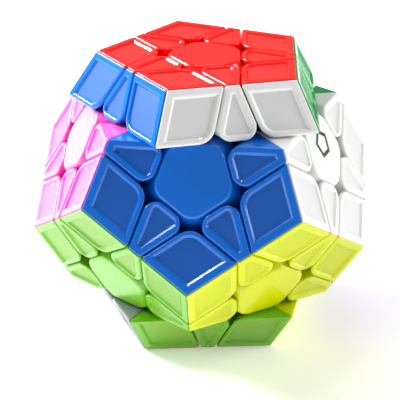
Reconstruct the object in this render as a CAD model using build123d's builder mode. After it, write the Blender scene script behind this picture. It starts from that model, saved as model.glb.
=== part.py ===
"""A twelve-sided twisty puzzle: a dodecahedron whose every face is a layer that turns.

Each face shows one centre, five edges and five corners. An edge carries two coloured shells and a
corner three, clipped round a dark foot. The feet run in a spherical track: centres hold the edges
down, edges hold the corners down, and each centre is pulled onto a ball core by its own screw,
washer and spring.

The puzzle stands on its orange face with the origin at the middle of the core, +Z out of the red face and -Y
towards the blue face. The red layer and the orange layer are stored part-way through a turn.
Millimetres and degrees.
"""

import os
from math import acos, atan, cos, degrees, pi, radians, sin, sqrt, tan

from build123d import *

# Outer shape
edge_length = 37.0  # along a ridge between two faces
layer_depth = 14.2  # from a face down to the plane on which its layer turns
gap = 0.3  # between neighbouring pieces
red_turn = -51.0  # how far the red layer stands turned, about +Z
orange_turn = 46.0  # how far the orange layer stands turned, about +Z

# Moulded faces
corner_round = 6.0  # rounding of a corner piece, where it meets a centre
edge_round = 3.0  # rounding of an edge piece, where it meets a centre
centre_round = 6.0  # rounding of a centre's five corners
rim_fillet = 0.6  # softening of the rims of corners and edges
ridge_fillet = 0.35  # softening of the ridges between two faces
cap_fillet = 1.2  # softening of a centre's rim
rim_at_ridge = 2.2  # raised rim beside a ridge between two faces
rim_at_cut = 1.5  # raised rim beside a neighbouring piece
recess_depth = 0.6
recess_run = 0.65  # how far the recess wall slopes inwards
recess_rim_chamfer = 0.15  # edge broken where the recess wall leaves the rim

# Shells
face_wall = 2.0  # behind a face
side_wall = 1.3  # beside a neighbouring piece
seat_margin = 0.3  # shells and caps start this far outside the reach of the round necks
fit = 0.1  # between a spigot and the shell round it

# Track and feet, as seen from the middle of the core
neck_angle = 42.5  # a layer's reach from its axis, above the track
foot_angle = 48.5  # a layer's reach from its axis, in the track
foot_height = 5.2  # from the ball to the roof of the track
ball_gap = 0.25  # between the ball and a foot
flange_angle = 19.3  # reach of a centre's flange over the edge feet
spigot_radius = 1.7  # of a corner foot
anchor_radius = 4.9  # head of a corner foot, inside its shells
anchor_height = 2.0
anchor_lift = 3.0  # from the seat to the anchor
edge_spigot_width = 6.0
edge_spigot_length = 9.0
edge_spigot_height = 3.0
plug_inset = 0.8  # total, by which the plug between neck and track foot is smaller than both
plug_height = 2.0
plug_round = 2.0

# Core, screws and springs
ball_wall = 3.0
lip_height = 1.6  # of the ring that centres one half of the ball in the other
boss_radius = 3.4
boss_root = 11.0  # distance of a boss's inner end from the middle
land_depth = 0.3  # flat on the ball under each centre
screw_radius = 1.5
screw_running = 0.1  # radial clearance of the hub on the screw
screw_reach = 12.0  # distance of the screw's tip from the middle
head_radius = 2.9
head_height = 1.9
head_fillet = 0.5
drive_width = 0.8  # slots of the cross drive
drive_length = 3.4
drive_depth = 1.1
washer_radius = 3.3
washer_height = 0.6
spring_radius = 2.7  # to the middle of the wire
wire_radius = 0.35
spring_turns = 5.5
spring_height = 7.0
well_radius = 3.6  # of the hole that holds washer and spring
well_floor = 3.0  # bottom of a centre under its spring
cap_wall = 1.8

# Angles of a regular dodecahedron
FIFTH = 72.0
tilt = degrees(acos(1 / sqrt(5)))  # between neighbouring face axes
ridge_angle = tilt / 2  # from a face axis to the middle of a ridge
vertex_angle = degrees(acos(sqrt((5 + 2 * sqrt(5)) / 15)))  # from a face axis to a corner's tip

# Sizes that follow
inradius = edge_length * sqrt((25 + 11 * sqrt(5)) / 40)  # from the middle to a face
face_inradius = edge_length / (2 * tan(pi / 5))  # from a face's middle to a ridge
cut_height = inradius - layer_depth  # from the middle to a turning plane
half_gap = gap / 2
block_low = cut_height + half_gap  # turning side of a piece inside a layer
block_high = cut_height - half_gap  # turning side of a piece outside a layer
reach = 2 * inradius  # larger than the puzzle, for cutting tools
track_roof = cut_height
ball_radius = track_roof - foot_height
neck_reach = cut_height / cos(radians(neck_angle))  # where a layer's cone meets its turning plane
corner_base = neck_reach + seat_margin
edge_base = neck_reach * cos(radians(neck_angle - ridge_angle)) + seat_margin
cap_base = neck_reach * cos(radians(tilt - neck_angle)) + seat_margin
land_height = ball_radius - land_depth
ball_hollow = ball_radius - ball_wall
well_bottom = land_height + well_floor
washer_low = well_bottom + spring_height
head_low = washer_low + washer_height


def axis_at(angle, azimuth):
    """Unit vector at an angle from +Z, turned to an azimuth about it."""
    return Vector(sin(radians(angle)), 0, cos(radians(angle))).rotate(Axis.Z, azimuth)


def across(normal, distance):
    """The plane at right angles to a direction, at a distance from the middle."""
    return Plane(origin=normal * distance, z_dir=normal)


def between(first, second):
    """The plane through the middle, halfway between two face axes; its normal points to the first."""
    return Plane(origin=(0, 0, 0), z_dir=(first - second).normalized())


def facing(axis, away_from):
    """A plane through the middle, square to an axis, with its x on the side away from a direction."""
    sideways = (axis * axis.dot(away_from) - away_from).normalized()
    return Plane(origin=(0, 0, 0), x_dir=sideways, z_dir=axis)


def in_section(plane_height, level):
    """How far from a face's axis a neighbour's plane at that height passes, on a level above the middle."""
    return (plane_height - level * cos(radians(tilt))) / sin(radians(tilt))


def meet(azimuth_a, distance_a, azimuth_b, distance_b):
    """Where two lines of a face cross, each given by the azimuth and length of its perpendicular."""
    a, b = radians(azimuth_a), radians(azimuth_b)
    turn = sin(b - a)
    x = (distance_a * sin(b) - distance_b * sin(a)) / turn
    y = (distance_b * cos(a) - distance_a * cos(b)) / turn
    return x, y


up = Vector(0, 0, 1)
sides = [axis_at(tilt, FIFTH * k) for k in range(5)]  # axes of the five faces round the top one
corner_axis = axis_at(vertex_angle, FIFTH / 2)
edge_axis = axis_at(ridge_angle, 0)
corner_faces = [up, sides[0], sides[1]]
edge_faces = [up, sides[0]]
edge_ends = [sides[1], sides[4]]


# Tools that cut a piece to its place

def layer_tool(angle, outset):
    """A layer about +Z above the track: a cone up to the turning plane, then everything above that."""
    slope = tan(radians(angle))
    shift = outset / cos(radians(angle))
    floor = cut_height / 4
    step = cut_height - outset
    with BuildPart() as tool:
        with BuildSketch(Plane.XZ):
            with BuildLine():
                Polyline(
                    (0, floor),
                    (floor * slope + shift, floor),
                    (step * slope + shift, step),
                    (reach, step),
                    (reach, reach),
                    (0, reach),
                    close=True,
                )
            make_face()
        revolve(axis=Axis.Z)
    return tool.part


def track_tool(outset):
    """A layer about +Z inside the track: a plain cone."""
    slope = tan(radians(foot_angle))
    shift = outset / cos(radians(foot_angle))
    floor = cut_height / 4
    with BuildPart() as tool:
        with BuildSketch(Plane.XZ):
            with BuildLine():
                Polyline(
                    (0, floor),
                    (floor * slope + shift, floor),
                    (reach * slope + shift, reach),
                    (0, reach),
                    close=True,
                )
            make_face()
        revolve(axis=Axis.Z)
    return tool.part


def ball(radius, axis):
    """A ball round the middle, with its seam turned away from an axis."""
    upright = Plane(origin=(0, 0, 0), x_dir=-axis, z_dir=axis.cross(sides[2]).normalized())
    return upright.location * Sphere(radius, mode=Mode.PRIVATE)


layer_inside = layer_tool(neck_angle, -half_gap)
layer_outside = layer_tool(neck_angle, half_gap)
track_inside = track_tool(-half_gap)
track_outside = track_tool(half_gap)


def pocket(corners, rounds):
    """Recess of a face: a shallow tray whose walls slope in from the face down to its floor."""
    with BuildPart() as tray:
        with BuildSketch(Plane.XY.offset(inradius)) as outline:
            Polygon(*corners, align=None)
            for corner, radius in zip(corners, rounds):
                if radius > 0:
                    fillet(outline.vertices().sort_by_distance((*corner, inradius))[0], radius)
        extrude(amount=-recess_depth, taper=degrees(atan(recess_run / recess_depth)))
    return tray.part


def soften_recess(shell):
    """Break the edge where the recess of a shell leaves its rim."""
    face = shell.faces().filter_by(Plane.XY).sort_by(Axis.Z)[-1]
    chamfer(face.inner_wires().edges(), recess_rim_chamfer)


def lying_on(planes):
    """Test that counts on how many of the planes an edge's middle lies."""
    near = 1e-4
    return lambda edge: sum(abs(plane.to_local_coords(edge @ 0.5).Z) < near for plane in planes)


# Corner: the block of all three shells, cut down to the shell of the top face

corner_outer = [across(axis, inradius) for axis in corner_faces]
corner_cuts = [across(axis, block_low) for axis in corner_faces]
on_outer = lying_on(corner_outer)
on_cut = lying_on(corner_cuts)
on_wall = lying_on([across(axis, block_low + side_wall) for axis in corner_faces])

ridge_line = face_inradius - rim_at_ridge
low_line = in_section(block_low, inradius) + rim_at_cut  # recess line beside a centre, in the top face
inner_round = corner_round - rim_at_cut
kite = [
    meet(0, ridge_line, FIFTH, ridge_line),
    meet(0, ridge_line, FIFTH, low_line),
    meet(0, low_line, FIFTH, low_line),
    meet(0, low_line, FIFTH, ridge_line),
]
kite_rounds = [0, 0, inner_round, 0]

with BuildPart() as corner_third:
    Box(2 * reach, 2 * reach, 2 * reach)
    split(bisect_by=between(up, sides[0]), keep=Keep.TOP)
    split(bisect_by=between(up, sides[1]), keep=Keep.TOP)

with BuildPart() as corner_cavity:
    Box(2 * reach, 2 * reach, 2 * reach)
    for axis in corner_faces:
        split(bisect_by=across(axis, inradius - face_wall), keep=Keep.BOTTOM)
        split(bisect_by=across(axis, block_low + side_wall), keep=Keep.TOP)
    fillet(corner_cavity.edges().filter_by(lambda edge: on_wall(edge) == 2), corner_round - side_wall)
    split(bisect_by=across(corner_axis, corner_base + anchor_lift - fit), keep=Keep.TOP)

with BuildPart() as corner_shell:
    Box(2 * reach, 2 * reach, 2 * reach)
    for plane in corner_outer:
        split(bisect_by=plane, keep=Keep.BOTTOM)
    for plane in corner_cuts:
        split(bisect_by=plane, keep=Keep.TOP)
    fillet(corner_shell.edges().filter_by(lambda edge: on_cut(edge) == 2), corner_round)
    fillet(corner_shell.edges().filter_by(lambda edge: on_outer(edge) == 1), rim_fillet)
    split(bisect_by=across(corner_axis, corner_base), keep=Keep.TOP)
    add(corner_third.part, mode=Mode.INTERSECT)
    fillet(corner_shell.edges().filter_by(lambda edge: on_outer(edge) == 2), ridge_fillet)
    add(pocket(kite, kite_rounds), mode=Mode.SUBTRACT)
    soften_recess(corner_shell)
    add(corner_cavity.part, mode=Mode.SUBTRACT)
    with Locations(facing(corner_axis, up).location):
        Cylinder(
            spigot_radius + fit,
            corner_base + anchor_lift + anchor_height,
            align=(Align.CENTER, Align.CENTER, Align.MIN),
            mode=Mode.SUBTRACT,
        )


# Edge: the block of both shells, cut down to the shell of the top face

edge_outer = [across(axis, inradius) for axis in edge_faces]
edge_cuts = [across(axis, block_low) for axis in edge_faces]
edge_stops = [across(axis, block_high) for axis in edge_ends]
on_edge_outer = lying_on(edge_outer)
on_edge_cut = lying_on(edge_cuts)
on_edge_stop = lying_on(edge_stops)
on_edge_wall = lying_on([across(axis, block_low + side_wall) for axis in edge_faces])
on_end_wall = lying_on([across(axis, block_high - side_wall) for axis in edge_ends])

flank_line = in_section(block_high, inradius) - rim_at_cut  # recess line beside a corner, in the top face
flank_round = edge_round - rim_at_cut
wedge = [
    meet(FIFTH, flank_line, 0, ridge_line),
    meet(-FIFTH, flank_line, 0, ridge_line),
    meet(-FIFTH, flank_line, 0, low_line),
    meet(FIFTH, flank_line, 0, low_line),
]
wedge_rounds = [0, 0, flank_round, flank_round]

with BuildPart() as edge_half:
    Box(2 * reach, 2 * reach, 2 * reach)
    split(bisect_by=between(up, sides[0]), keep=Keep.TOP)

with BuildPart() as edge_cavity:
    Box(2 * reach, 2 * reach, 2 * reach)
    for axis in edge_faces:
        split(bisect_by=across(axis, inradius - face_wall), keep=Keep.BOTTOM)
        split(bisect_by=across(axis, block_low + side_wall), keep=Keep.TOP)
    for axis in edge_ends:
        split(bisect_by=across(axis, block_high - side_wall), keep=Keep.BOTTOM)
    fillet(
        edge_cavity.edges().filter_by(lambda edge: on_edge_wall(edge) == 1 and on_end_wall(edge) == 1),
        edge_round - side_wall,
    )

with BuildPart() as edge_shell:
    Box(2 * reach, 2 * reach, 2 * reach)
    for plane in edge_outer:
        split(bisect_by=plane, keep=Keep.BOTTOM)
    for plane in edge_cuts:
        split(bisect_by=plane, keep=Keep.TOP)
    for plane in edge_stops:
        split(bisect_by=plane, keep=Keep.BOTTOM)
    fillet(
        edge_shell.edges().filter_by(lambda edge: on_edge_cut(edge) == 1 and on_edge_stop(edge) == 1),
        edge_round,
    )
    fillet(edge_shell.edges().filter_by(lambda edge: on_edge_outer(edge) == 1), rim_fillet)
    split(bisect_by=across(edge_axis, edge_base), keep=Keep.TOP)
    add(edge_half.part, mode=Mode.INTERSECT)
    fillet(edge_shell.edges().filter_by(lambda edge: on_edge_outer(edge) == 2), ridge_fillet)
    add(pocket(wedge, wedge_rounds), mode=Mode.SUBTRACT)
    soften_recess(edge_shell)
    add(edge_cavity.part, mode=Mode.SUBTRACT)


# Centre: the cap, then its hub

cap_low_width = in_section(block_high, cap_base)
cap_top_width = in_section(block_high, inradius)
slant = (cap_low_width - cap_top_width) / (inradius - cap_base)  # widening of a centre per mm of depth
wall_shift = cap_wall * sqrt(1 + slant**2)


def pentagon(level, width):
    """Five-sided sketch on a level, a side facing the first neighbour, `width` from its middle to a side."""
    with BuildSketch(Plane.XY.offset(level)) as outline:
        RegularPolygon(width, 5, major_radius=False, rotation=180)
    return outline.sketch


with BuildPart() as cap_cavity:
    add(pentagon(cap_base, cap_low_width - wall_shift))
    add(pentagon(inradius - face_wall, cap_top_width + slant * face_wall - wall_shift))
    loft()

with BuildPart() as centre_cap:
    add(pentagon(cap_base, cap_low_width))
    add(pentagon(inradius, cap_top_width))
    loft()
    fillet(centre_cap.edges().filter_by(lambda edge: cap_base < (edge @ 0.5).Z < inradius), centre_round)
    fillet(centre_cap.faces().sort_by(Axis.Z)[-1].outer_wire().edges(), cap_fillet)
    add(cap_cavity.part, mode=Mode.SUBTRACT)

key_top = (cap_base + inradius - face_wall) / 2  # the hub's five-sided key reaches half-way up the cap
key_low_width = cap_low_width - wall_shift - fit
stem_radius = land_height * tan(radians(tilt - foot_angle)) - half_gap
flange_bottom = track_roof + half_gap
flange_sin, flange_cos = sin(radians(flange_angle)), cos(radians(flange_angle))
stem_top = sqrt(flange_bottom**2 - stem_radius**2)
bow = (flange_angle + degrees(acos(stem_top / flange_bottom))) / 2

with BuildPart() as centre_hub:
    with BuildSketch(Plane.XZ):
        with BuildLine():
            Polyline((0, land_height), (stem_radius, land_height), (stem_radius, stem_top))
            ThreePointArc(
                (stem_radius, stem_top),
                (flange_bottom * sin(radians(bow)), flange_bottom * cos(radians(bow))),
                (flange_bottom * flange_sin, flange_bottom * flange_cos),
            )
            Polyline(
                (flange_bottom * flange_sin, flange_bottom * flange_cos),
                (cap_base * flange_sin / flange_cos, cap_base),
                (0, cap_base),
                (0, land_height),
            )
        make_face()
    revolve(axis=Axis.Z)
    add(pentagon(cap_base, key_low_width))
    add(pentagon(key_top, key_low_width - slant * (key_top - cap_base)))
    loft()
    with Locations((0, 0, well_bottom)):
        Cylinder(well_radius, reach, align=(Align.CENTER, Align.CENTER, Align.MIN), mode=Mode.SUBTRACT)
    Cylinder(screw_radius + screw_running, reach, mode=Mode.SUBTRACT)


# Edge foot: track foot, neck and seat, the plug that joins them, and the spigot for the shells

def seated(tool, axis, own):
    """A tool made about +Z, placed about another axis with its seam away from the piece."""
    return facing(axis, own).location * tool


end_angle = degrees(acos(edge_axis.dot(sides[1])))
seat_length = 2 * (block_high - edge_base * cos(radians(end_angle))) / sin(radians(end_angle))
seat_width = 2 * (edge_base * cos(radians(ridge_angle)) - block_low) / sin(radians(ridge_angle))
plug_width = 2 * track_roof * tan(radians(neck_angle - ridge_angle)) - plug_inset
plug_length = 2 * track_roof * tan(radians(end_angle - foot_angle)) - plug_inset
along_ridge = Plane(origin=(0, 0, 0), x_dir=(0, 1, 0), z_dir=edge_axis)

with BuildPart() as edge_neck:
    with BuildSketch(along_ridge.offset(ball_radius)):
        RectangleRounded(seat_length, seat_width, edge_round)
    extrude(amount=edge_base - ball_radius)
    add(ball(track_roof + half_gap, edge_axis), mode=Mode.SUBTRACT)
    for axis in edge_faces:
        add(seated(layer_inside, axis, edge_axis), mode=Mode.INTERSECT)
    for axis in edge_ends:
        add(seated(layer_outside, axis, edge_axis), mode=Mode.SUBTRACT)

with BuildPart() as edge_foot:
    add(ball(track_roof - half_gap, edge_axis))
    add(ball(ball_radius + ball_gap, edge_axis), mode=Mode.SUBTRACT)
    for axis in edge_faces:
        add(seated(track_inside, axis, edge_axis), mode=Mode.INTERSECT)
    for axis in edge_ends:
        add(seated(track_outside, axis, edge_axis), mode=Mode.SUBTRACT)
    add(edge_neck.part)
    with BuildSketch(along_ridge.offset(track_roof - plug_height / 2)):
        RectangleRounded(plug_length, plug_width, plug_round)
    extrude(amount=plug_height)
    with Locations(along_ridge.offset(edge_base).location):
        Box(
            edge_spigot_length,
            edge_spigot_width,
            edge_spigot_height,
            align=(Align.CENTER, Align.CENTER, Align.MIN),
        )


# Corner foot: track foot, round neck, spigot and anchor

neck_spread = neck_angle - vertex_angle
neck_shift = half_gap / cos(radians(neck_spread))
neck_start = ball_radius + foot_height / 2

with BuildPart() as corner_foot:
    add(ball(track_roof - half_gap, corner_axis))
    add(ball(ball_radius + ball_gap, corner_axis), mode=Mode.SUBTRACT)
    for axis in corner_faces:
        add(seated(track_inside, axis, corner_axis), mode=Mode.INTERSECT)
    with Locations(across(corner_axis, neck_start).location):
        Cone(
            neck_start * tan(radians(neck_spread)) - neck_shift,
            corner_base * tan(radians(neck_spread)) - neck_shift,
            corner_base - neck_start,
            align=(Align.CENTER, Align.CENTER, Align.MIN),
        )
    with Locations(across(corner_axis, neck_start).location):
        Cylinder(
            spigot_radius,
            corner_base + anchor_lift + anchor_height - neck_start,
            align=(Align.CENTER, Align.CENTER, Align.MIN),
        )
    with Locations(across(corner_axis, corner_base + anchor_lift).location):
        Cylinder(anchor_radius, anchor_height, align=(Align.CENTER, Align.CENTER, Align.MIN))


# Screw, washer and spring, about +Z

with BuildPart() as tension_screw:
    with Locations((0, 0, screw_reach)):
        Cylinder(screw_radius, head_low - screw_reach, align=(Align.CENTER, Align.CENTER, Align.MIN))
    with Locations((0, 0, head_low)):
        Cylinder(head_radius, head_height, align=(Align.CENTER, Align.CENTER, Align.MIN))
    fillet(tension_screw.edges().sort_by(Axis.Z)[-1], head_fillet)
    with Locations((0, 0, head_low + head_height)):
        Box(drive_length, drive_width, 2 * drive_depth, mode=Mode.SUBTRACT)
        Box(drive_width, drive_length, 2 * drive_depth, mode=Mode.SUBTRACT)

with BuildPart() as screw_washer:
    with BuildSketch(Plane.XY.offset(washer_low)):
        Circle(washer_radius)
        Circle(screw_radius + screw_running, mode=Mode.SUBTRACT)
    extrude(amount=washer_height)

coil_height = spring_height - 2 * wire_radius
with BuildPart() as tension_spring:
    with BuildLine(Plane.XY.offset(well_bottom + wire_radius)) as coil:
        Helix(coil_height / spring_turns, coil_height, spring_radius)
    with BuildSketch(Plane(origin=coil.line @ 0, z_dir=coil.line % 0)):
        Circle(wire_radius)
    sweep(is_frenet=True)


# The twelve faces: where each stands, named by its colour

upper_ring = ["blue", "white", "green", "cream", "pink"]
lower_ring = ["yellow", "purple", "light_blue", "grey", "lime"]
to_front = -90.0  # turns the first side of a face from +X to -Y
half_fifth = FIFTH / 2

frames = {"red": Rot(Z=to_front), "orange": Rot(Z=to_front + half_fifth) * Rot(X=180)}
for k, colour in enumerate(upper_ring):
    frames[colour] = Rot(Z=to_front + FIFTH * k) * Rot(Y=tilt) * Rot(Z=180)
for k, colour in enumerate(lower_ring):
    frames[colour] = Rot(Z=to_front + half_fifth + FIFTH * k) * Rot(Y=180 - tilt)

turns = {"red": Rot(Z=red_turn), "orange": Rot(Z=orange_turn), "band": Rot()}


def layer_of(place, axis):
    """Which body a piece rides on: the red layer, the orange layer or the band between them."""
    level = (place * Pos(*axis)).position.Z
    if level > cos(radians(neck_angle)):
        return "red"
    if level < -cos(radians(neck_angle)):
        return "orange"
    return "band"


def places_in(layer, colour, axis):
    """Where the pieces of one face that ride on one layer stand."""
    around = [frames[colour] * Rot(Z=FIFTH * k) for k in range(5)]
    return [turns[layer] * place for place in around if layer_of(place, axis) == layer]


def feet_in(layer, axis):
    """Where the feet of one layer stand, each once although several faces share it."""
    found = {}
    for colour in frames:
        for place in places_in(layer, colour, axis):
            spot = (place * Pos(*axis)).position
            found.setdefault((round(spot.X, 3), round(spot.Y, 3), round(spot.Z, 3)), place)
    return list(found.values())


os.makedirs("parts", exist_ok=True)


def save(label, *groups):
    """Put copies of templates at their places and write them as one node."""
    with BuildPart() as node:
        for template, places in groups:
            with Locations(*places):
                add(template)
    node.part.label = label
    export_step(node.part, f"parts/{label}.step")


# Core: two halves of a hollow ball with a boss behind each face

boss_length = ball_hollow + ball_wall / 2 - boss_root
lip_radius = ball_hollow + ball_wall / 2

with BuildPart() as core_ball:
    Sphere(ball_radius)
    Sphere(ball_hollow, mode=Mode.SUBTRACT)
    with Locations(*[frame * Pos(0, 0, boss_root) for frame in frames.values()]):
        Cylinder(boss_radius, boss_length, align=(Align.CENTER, Align.CENTER, Align.MIN))
    with Locations(*[frame * Pos(0, 0, land_height) for frame in frames.values()]):
        Cylinder(
            ball_radius / 2,
            ball_wall,
            align=(Align.CENTER, Align.CENTER, Align.MIN),
            mode=Mode.SUBTRACT,
        )
    with Locations(*[frame * Pos(0, 0, boss_root) for frame in frames.values()]):
        Cylinder(
            screw_radius,
            ball_radius,
            align=(Align.CENTER, Align.CENTER, Align.MIN),
            mode=Mode.SUBTRACT,
        )

with BuildPart() as core_upper_half:
    add(core_ball.part)
    split(bisect_by=Plane.XY, keep=Keep.TOP)
    Cylinder(lip_radius + fit, 2 * (lip_height + fit), mode=Mode.SUBTRACT)
core_upper_half.part.label = "core_upper_half"
export_step(core_upper_half.part, "parts/core_upper_half.step")

with BuildPart() as core_lower_half:
    add(core_ball.part)
    split(bisect_by=Plane.XY, keep=Keep.BOTTOM)
    with BuildSketch(Plane.XY):
        Circle(lip_radius)
        Circle(ball_hollow, mode=Mode.SUBTRACT)
    extrude(amount=lip_height)
core_lower_half.part.label = "core_lower_half"
export_step(core_lower_half.part, "parts/core_lower_half.step")

save("tension_screws", (tension_screw.part, frames.values()))
save("screw_washers", (screw_washer.part, frames.values()))
save("tension_springs", (tension_spring.part, frames.values()))


# Centres: a cap and a hub for each colour

for colour in frames:
    place = turns.get(colour, turns["band"]) * frames[colour]
    save(f"{colour}_centre_cap", (centre_cap.part, [place]))
    save(f"{colour}_centre_hub", (centre_hub.part, [place]))


# Band: the pieces that stand still between the two turned layers

for colour in upper_ring + lower_ring:
    save(
        f"{colour}_band_shells",
        (edge_shell.part, places_in("band", colour, edge_axis)),
        (corner_shell.part, places_in("band", colour, corner_axis)),
    )
save("band_edge_feet", (edge_foot.part, feet_in("band", edge_axis)))
save("band_corner_feet", (corner_foot.part, feet_in("band", corner_axis)))


# Red and orange layers: their own shells, the rows of the ring colours that ride on them, and the feet

for layer, ring in (("red", upper_ring), ("orange", lower_ring)):
    save(f"{layer}_edge_shells", (edge_shell.part, places_in(layer, layer, edge_axis)))
    save(f"{layer}_corner_shells", (corner_shell.part, places_in(layer, layer, corner_axis)))
    for colour in ring:
        save(
            f"{colour}_{layer}_row_shells",
            (edge_shell.part, places_in(layer, colour, edge_axis)),
            (corner_shell.part, places_in(layer, colour, corner_axis)),
        )
    save(f"{layer}_edge_feet", (edge_foot.part, feet_in(layer, edge_axis)))
    save(f"{layer}_corner_feet", (corner_foot.part, feet_in(layer, corner_axis)))
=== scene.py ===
# A twelve-sided twisty puzzle with coloured, recessed tiles.
from math import cos, radians, sin, sqrt

import bpy
from mathutils import Matrix, Vector


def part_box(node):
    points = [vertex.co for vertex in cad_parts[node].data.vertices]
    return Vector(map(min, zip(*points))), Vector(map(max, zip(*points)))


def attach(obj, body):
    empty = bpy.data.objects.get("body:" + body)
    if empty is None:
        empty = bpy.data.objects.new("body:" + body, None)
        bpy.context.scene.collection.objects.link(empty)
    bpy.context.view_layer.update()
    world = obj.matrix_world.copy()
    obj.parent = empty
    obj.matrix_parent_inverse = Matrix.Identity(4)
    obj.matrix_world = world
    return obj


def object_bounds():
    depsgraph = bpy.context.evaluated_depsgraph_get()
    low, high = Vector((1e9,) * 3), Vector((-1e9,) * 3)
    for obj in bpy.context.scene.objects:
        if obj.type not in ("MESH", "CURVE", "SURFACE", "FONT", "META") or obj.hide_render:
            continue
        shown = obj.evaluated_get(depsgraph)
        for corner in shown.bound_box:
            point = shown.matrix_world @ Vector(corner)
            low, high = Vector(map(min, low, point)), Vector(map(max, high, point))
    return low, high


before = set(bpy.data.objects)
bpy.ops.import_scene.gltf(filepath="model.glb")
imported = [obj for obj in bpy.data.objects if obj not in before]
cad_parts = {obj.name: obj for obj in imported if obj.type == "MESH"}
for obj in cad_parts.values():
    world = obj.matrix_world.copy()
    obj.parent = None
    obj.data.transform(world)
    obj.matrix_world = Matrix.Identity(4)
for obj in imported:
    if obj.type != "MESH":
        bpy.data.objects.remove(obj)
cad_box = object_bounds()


# --- Coloured shells and centres -------------------------------------------------------------------------
# Every tile is its own injection-moulded ABS shell, dyed right through, with a satin gloss from the mould.
# The eye sees an even colour with a narrow highlight on the rims, and a matt, etched floor in each recess.
# Each recess floor is also painted a colour of its own: painted shade, darker than the rim in most colours,
# and a paler painted sheen in lime and pink.
# Each pair is the rim's colour, then the recess floor's colour with painted shade in it (a paler painted
# sheen in lime and pink).
SHELL_COLOURS = {  # rim and recess floor
    "red": ("#FA1208", "#F21E18"), "orange": ("#FF6A10", "#F26410"), "blue": ("#006CD6", "#025ABA"),
    "white": ("#F2F2F0", "#DFDFDF"), "green": ("#06A84C", "#0A9846"), "cream": ("#F7E9A0", "#EBDD94"),
    "pink": ("#EE54B8", "#EE5CBE"), "yellow": ("#D6DE02", "#C6D00C"), "purple": ("#6A30AE", "#5E2A9C"),
    "light_blue": ("#42BEEE", "#3AACDA"), "grey": ("#8A8E92", "#7E8286"), "lime": ("#6CB216", "#76AA2C"),
}
UPPER = ["blue", "white", "green", "cream", "pink"]  # faces round the red one, from -Y towards +X
LOWER = ["yellow", "purple", "light_blue", "grey", "lime"]  # faces round the orange one, the same way
RED_TURN, ORANGE_TURN = -51.0, 46.0  # how far the two layers stand turned, in degrees
ABS_IOR = 1.54
RECESS_DEPTH = 0.0006  # from a rim down to the etched floor
GRAIN_MM = 0.35  # spacing of the mould's spark-erosion grain
FLOW_MM = 14.0  # how slowly the gloss drifts across a tile, from uneven cooling
FLOW_DEPTH = 0.95  # of the dye where the plastic flowed last
LEVEL = 0.9  # a surface facing this squarely outwards is a floor, not a recess wall
POLISHED, WORN, ETCHED = 0.16, 0.24, 0.42  # roughness of the rims, from best to worst, and of the floors


def linear(hex_colour):
    """sRGB hex to the linear colour that a shader takes."""
    values = [int(hex_colour[i:i + 2], 16) / 255 for i in (1, 3, 5)]
    return [v / 12.92 if v <= 0.04045 else ((v + 0.055) / 1.055) ** 2.4 for v in values] + [1.0]


def node(tree, kind, settings=None, sockets=None, links=None):
    """Add a node, set its properties and input values, and link other nodes' outputs to its inputs."""
    made = tree.nodes.new(kind)
    for name, value in (settings or {}).items():
        setattr(made, name, value)
    for name, value in (sockets or {}).items():
        made.inputs[name].default_value = value
    for name, source in (links or {}).items():
        tree.links.new(source, made.inputs[name])
    return made


def new_material(name):
    """An empty node material with its output, ready for a shader."""
    material = bpy.data.materials.new(name)
    material.use_nodes = True
    material.node_tree.nodes.clear()
    output = material.node_tree.nodes.new("ShaderNodeOutputMaterial")
    return material, material.node_tree, output


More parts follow.
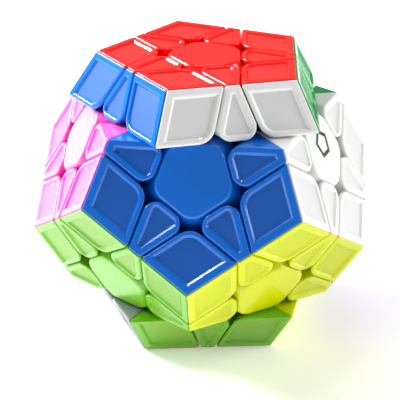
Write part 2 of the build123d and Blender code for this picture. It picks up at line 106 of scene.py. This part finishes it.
def moulded_abs(name, hex_colour, floor_shade_and_sheen_hex, face_axis):
    """Satin ABS in one colour. Rims are polished and recess floors are etched matt; a floor is also painted
    a colour of its own, painted shade that is darker in most colours and a paler painted sheen in lime and
    pink.
    Both carry a fine moulded grain, and the gloss drifts a little from uneven cooling."""
    material, tree, output = new_material(name)
    place = node(tree, "ShaderNodeTexCoord")
    flow = node(tree, "ShaderNodeTexNoise", None,
                {"Scale": 1000 / FLOW_MM, "Detail": 3.0, "Roughness": 0.5},
                {"Vector": place.outputs["Object"]})
    grain = node(tree, "ShaderNodeTexNoise", None,
                 {"Scale": 1000 / GRAIN_MM, "Detail": 2.0, "Roughness": 0.6},
                 {"Vector": place.outputs["Object"]})
    height = node(tree, "ShaderNodeVectorMath", {"operation": "DOT_PRODUCT"}, {1: face_axis},
                  {0: place.outputs["Object"]})
    below = node(tree, "ShaderNodeMapRange", None,
                 {"From Min": FACE_HEIGHT - 0.8 * RECESS_DEPTH,
                  "From Max": FACE_HEIGHT - 0.95 * RECESS_DEPTH},
                 {"Value": height.outputs["Value"]})
    shape = node(tree, "ShaderNodeNewGeometry")
    flat = node(tree, "ShaderNodeVectorMath", {"operation": "DOT_PRODUCT"}, {1: face_axis},
                {0: shape.outputs["Normal"]})
    level = node(tree, "ShaderNodeMath", {"operation": "GREATER_THAN"}, {1: LEVEL},
                 {0: flat.outputs["Value"]})
    # Floor mask: it gives the recess floors their etched matt roughness and also their painted shade
    # colour.
    etched_and_shaded_floor = node(tree, "ShaderNodeMath", {"operation": "MULTIPLY"}, None,
                  {0: below.outputs["Result"], 1: level.outputs["Value"]})
    deep = [channel * FLOW_DEPTH for channel in linear(hex_colour)[:3]] + [1.0]
    dye = node(tree, "ShaderNodeMix", {"data_type": "RGBA"}, {6: deep, 7: linear(hex_colour)},
               {0: flow.outputs["Fac"]})
    # Painted shade on the recess floors: the floor colour is darker than the rim in most colours, and paler
    # (painted sheen) in lime and pink.
    floor_shade_and_sheen = node(tree, "ShaderNodeMix", {"data_type": "RGBA"}, {7: linear(floor_shade_and_sheen_hex)},
                {0: etched_and_shaded_floor.outputs["Value"], 6: dye.outputs[2]})
    gloss = node(tree, "ShaderNodeMapRange", None,
                 {"From Min": 0.3, "From Max": 0.7, "To Min": POLISHED, "To Max": WORN},
                 {"Value": flow.outputs["Fac"]})
    matt = node(tree, "ShaderNodeMix", {"data_type": "FLOAT"}, {3: ETCHED},
                {0: etched_and_shaded_floor.outputs["Value"], 2: gloss.outputs["Result"]})
    relief = node(tree, "ShaderNodeBump", None, {"Strength": 0.05, "Distance": 0.00003},
                  {"Height": grain.outputs["Fac"]})
    shader = node(tree, "ShaderNodeBsdfPrincipled", None, {"IOR": ABS_IOR},
                  {"Base Color": floor_shade_and_sheen.outputs[2], "Roughness": matt.outputs[0],
                   "Normal": relief.outputs["Normal"]})
    tree.links.new(shader.outputs["BSDF"], output.inputs["Surface"])
    return material


def paint(node_name, material):
    """Give a CAD node this material in every slot."""
    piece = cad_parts[node_name]
    for slot in piece.material_slots:
        slot.material = material


def axis_of(colour, turn=0.0):
    """Outward direction of a colour's face, with its layer turned about +Z."""
    if colour in ("red", "orange"):
        return Vector((0, 0, 1 if colour == "red" else -1))
    upper = colour in UPPER
    azimuth = radians(72 * UPPER.index(colour) if upper else 36 + 72 * LOWER.index(colour))
    level = 1 / sqrt(5) if upper else -1 / sqrt(5)
    across = sqrt(1 - level * level)
    straight = Vector((across * sin(azimuth), -across * cos(azimuth), level))
    return Matrix.Rotation(radians(turn), 3, "Z") @ straight


FACE_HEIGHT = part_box("red_centre_cap")[1][2]  # from the middle of the puzzle to every face
for colour, (rim_hex, floor_shade_and_sheen_hex) in SHELL_COLOURS.items():
    still = moulded_abs(f"abs_{colour}", rim_hex, floor_shade_and_sheen_hex, axis_of(colour))
    for name in (f"{colour}_band_shells", f"{colour}_edge_shells", f"{colour}_corner_shells",
                 f"{colour}_centre_cap", f"{colour}_centre_hub"):
        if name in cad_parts:
            paint(name, still)
    for layer, turn in (("red", RED_TURN), ("orange", ORANGE_TURN)):
        name = f"{colour}_{layer}_row_shells"
        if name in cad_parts:
            paint(name, moulded_abs(f"abs_{colour}_turned", rim_hex, floor_shade_and_sheen_hex, axis_of(colour, turn)))


# --- Printed mark ----------------------------------------------------------------------------------------
# A plain pentagon ring, pad-printed in black ink on the white centre. It is a five-sided disc, inset and
# opened to a ring, then thickened to a film of ink.
MARK_RADIUS, MARK_STROKE = 0.0044, 0.0011
MARK_SHIFT = 0.0018  # up the face from the middle of the centre
INK_FILM = 0.00003
INK_KEY = 0.00002  # how far the film reaches into the plastic
SPECKLE_MM = 0.3  # spacing of the dry specks in the ink
ink, tree, output = new_material("pad_print_ink")
place = node(tree, "ShaderNodeTexCoord")
speckle = node(tree, "ShaderNodeTexNoise", None, {"Scale": 1000 / SPECKLE_MM, "Detail": 2.0},
               {"Vector": place.outputs["Object"]})
dry = node(tree, "ShaderNodeMapRange", None, {"To Min": 0.4, "To Max": 0.55},
           {"Value": speckle.outputs["Fac"]})
shader = node(tree, "ShaderNodeBsdfPrincipled", None, {"Base Color": linear("#101012"), "IOR": 1.5},
              {"Roughness": dry.outputs["Result"]})
tree.links.new(shader.outputs["BSDF"], output.inputs["Surface"])
bpy.ops.object.select_all(action="DESELECT")
bpy.ops.mesh.primitive_circle_add(vertices=5, radius=MARK_RADIUS, fill_type="NGON")
mark = bpy.context.object
mark.name = "white_centre_mark"
bpy.ops.object.mode_set(mode="EDIT")
bpy.ops.mesh.select_all(action="SELECT")
bpy.ops.mesh.inset(thickness=MARK_STROKE, depth=0.0)
bpy.ops.mesh.delete(type="FACE")
bpy.ops.mesh.select_all(action="SELECT")
bpy.ops.mesh.extrude_region_move(TRANSFORM_OT_translate={"value": (0, 0, INK_FILM + INK_KEY)})
bpy.ops.mesh.select_all(action="SELECT")
bpy.ops.mesh.normals_make_consistent(inside=False)
bpy.ops.object.mode_set(mode="OBJECT")
outward = axis_of("white")
uphill = (Vector((0, 0, 1)) - outward * outward.z).normalized()
mark.matrix_world = Matrix.Translation(outward * (FACE_HEIGHT - INK_KEY) + uphill * MARK_SHIFT) @ Matrix(
    (uphill.cross(outward), uphill, outward)).transposed().to_4x4()
bpy.ops.object.transform_apply(location=True, rotation=True, scale=True)
mark.data.materials.append(ink)
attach(mark, "white_centre")


# --- Dark feet and core ----------------------------------------------------------------------------------
# Feet and core are black nylon, plain from the mould and a little waxy where they run on each other.
NYLON_IOR = 1.53
NYLON_GRAIN_MM = 0.5  # spacing of the grain that the mould leaves
nylon, tree, output = new_material("nylon_black")
place = node(tree, "ShaderNodeTexCoord")
grain = node(tree, "ShaderNodeTexNoise", None, {"Scale": 1000 / NYLON_GRAIN_MM, "Detail": 3.0},
             {"Vector": place.outputs["Object"]})
rub = node(tree, "ShaderNodeMapRange", None, {"To Min": 0.38, "To Max": 0.52},
           {"Value": grain.outputs["Fac"]})
relief = node(tree, "ShaderNodeBump", None, {"Strength": 0.15, "Distance": 0.00004},
              {"Height": grain.outputs["Fac"]})
shader = node(tree, "ShaderNodeBsdfPrincipled", None, {"Base Color": linear("#141416"), "IOR": NYLON_IOR},
              {"Roughness": rub.outputs["Result"], "Normal": relief.outputs["Normal"]})
tree.links.new(shader.outputs["BSDF"], output.inputs["Surface"])
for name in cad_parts:
    if name.endswith("_feet") or name.startswith("core_"):
        paint(name, nylon)


# --- Screws, washers and springs -------------------------------------------------------------------------
# Zinc-plated steel: a cool grey metal with a fine, slightly milky plating.
PLATING_MM = 0.8  # spacing of the cloudy patches in the zinc
zinc, tree, output = new_material("zinc_plated_steel")
place = node(tree, "ShaderNodeTexCoord")
plating = node(tree, "ShaderNodeTexNoise", None, {"Scale": 1000 / PLATING_MM, "Detail": 4.0},
               {"Vector": place.outputs["Object"]})
haze = node(tree, "ShaderNodeMapRange", None, {"To Min": 0.25, "To Max": 0.4},
            {"Value": plating.outputs["Fac"]})
shader = node(tree, "ShaderNodeBsdfPrincipled", None, {"Base Color": linear("#C9CCD0"), "Metallic": 1.0},
              {"Roughness": haze.outputs["Result"]})
tree.links.new(shader.outputs["BSDF"], output.inputs["Surface"])
for name in ("tension_screws", "screw_washers", "tension_springs"):
    paint(name, zinc)


# --- Floor, light and camera -----------------------------------------------------------------------------
# A white light table under soft boxes from the left, the right and above, with little light from the
# front. The table glows a little, which thins the shadows on it.
FLOOR_WIDTH = 8.0
bpy.ops.object.select_all(action="DESELECT")
floor_level = cad_box[0][2]
bpy.ops.mesh.primitive_plane_add(size=FLOOR_WIDTH, location=(0, 0, floor_level))
floor = bpy.context.object
floor.name = "floor"
white, tree, output = new_material("light_table")
shader = node(tree, "ShaderNodeBsdfPrincipled", None,
              {"Base Color": linear("#FFFFFF"), "Roughness": 0.9, "Emission Color": linear("#FFFFFF"),
               "Emission Strength": 0.30})
tree.links.new(shader.outputs["BSDF"], output.inputs["Surface"])
floor.data.materials.append(white)

world = bpy.context.scene.world or bpy.data.worlds.new("studio")
bpy.context.scene.world = world
world.use_nodes = True
world.node_tree.nodes["Background"].inputs["Color"].default_value = (1, 1, 1, 1)
world.node_tree.nodes["Background"].inputs["Strength"].default_value = 0.30
bpy.context.scene.view_settings.view_transform = "Standard"  # keeps the dyes as saturated as they are


def soft_box(name, azimuth, elevation, distance, size, power):
    """An area light on a sphere round the puzzle, aimed at its middle."""
    place = Vector((sin(radians(azimuth)) * cos(radians(elevation)),
                    -cos(radians(azimuth)) * cos(radians(elevation)), sin(radians(elevation)))) * distance
    bpy.ops.object.light_add(type="AREA", location=place)
    lamp = bpy.context.object
    lamp.name = name
    lamp.rotation_euler = place.to_track_quat("Z", "Y").to_euler()
    lamp.data.shape = "RECTANGLE"
    lamp.data.size, lamp.data.size_y = size
    lamp.data.energy = power
    return lamp


soft_box("box_left", -112, 36, 0.9, (0.5, 0.4), 21.0)
soft_box("box_right", 96, 20, 0.9, (0.4, 0.6), 4.4)
soft_box("box_top", 180, 72, 0.8, (0.30, 0.08), 1.2)

VIEW_AZIMUTH, VIEW_ELEVATION, VIEW_ROLL = 4.104, 24.822, 1.41  # degrees
VIEW_DISTANCE = 0.4075
LENS_MM, SENSOR_MM = 123.2, 36.0
SHIFT_RIGHT, SHIFT_UP = -0.0078, -0.0387  # of the lens, in widths of the picture
turn, lift, roll = radians(VIEW_AZIMUTH), radians(VIEW_ELEVATION), radians(VIEW_ROLL)
back = Vector((sin(turn) * cos(lift), -cos(turn) * cos(lift), sin(lift)))
right = Vector((cos(turn), sin(turn), 0))
up = back.cross(right)
level_right = right * cos(roll) + up * sin(roll)
level_up = up * cos(roll) - right * sin(roll)
bpy.ops.object.camera_add()
camera = bpy.context.object
camera.matrix_world = Matrix.Translation(back * VIEW_DISTANCE) @ Matrix(
    (level_right, level_up, back)).transposed().to_4x4()
camera.data.sensor_width = SENSOR_MM
camera.data.lens = LENS_MM
camera.data.shift_x = SHIFT_RIGHT
camera.data.shift_y = SHIFT_UP
bpy.context.scene.camera = camera
